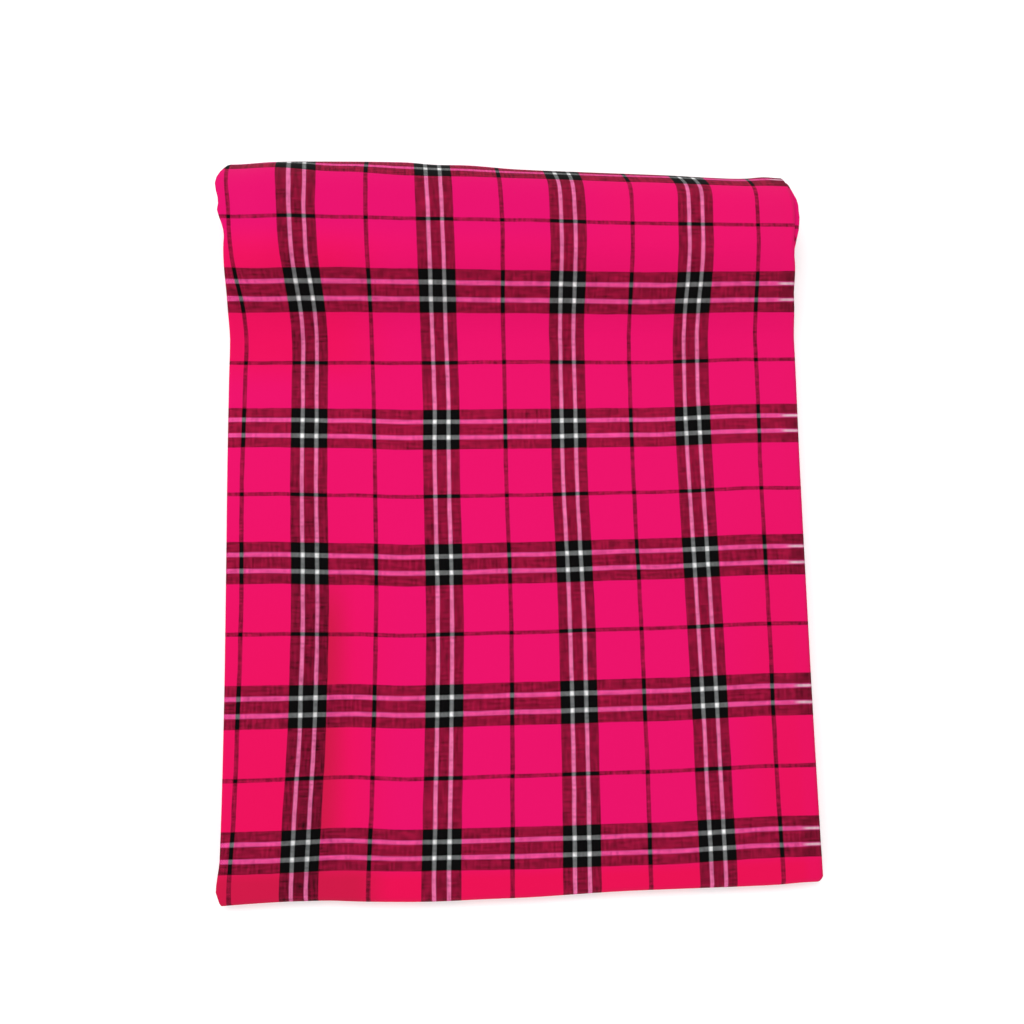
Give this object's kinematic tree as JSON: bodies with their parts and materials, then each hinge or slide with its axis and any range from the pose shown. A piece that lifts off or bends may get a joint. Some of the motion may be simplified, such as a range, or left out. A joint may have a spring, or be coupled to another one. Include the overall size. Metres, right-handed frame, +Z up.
{
  "type": "folded maasai shuka blanket",
  "caption": "Woven check blanket cloth folded into a flat stack of loose layers that ends in a thick rounded fold, for wrapping, wearing or covering.",
  "frame": {"origin": "centre of the folded stack's outline, on the surface that it lies on", "axes": "+X across the stack towards the shown selvedge, +Y along the stack towards the thick rounded fold, +Z up"},
  "size_m": [0.5284, 0.65, 0.0589],
  "materials": {
    "woven_check": "matt woven cotton, bright pink ground with maroon, black and white check"
  },
  "bodies": {
    "root": {"shuka_cloth": "woven_check"}
  },
  "joints": []
}
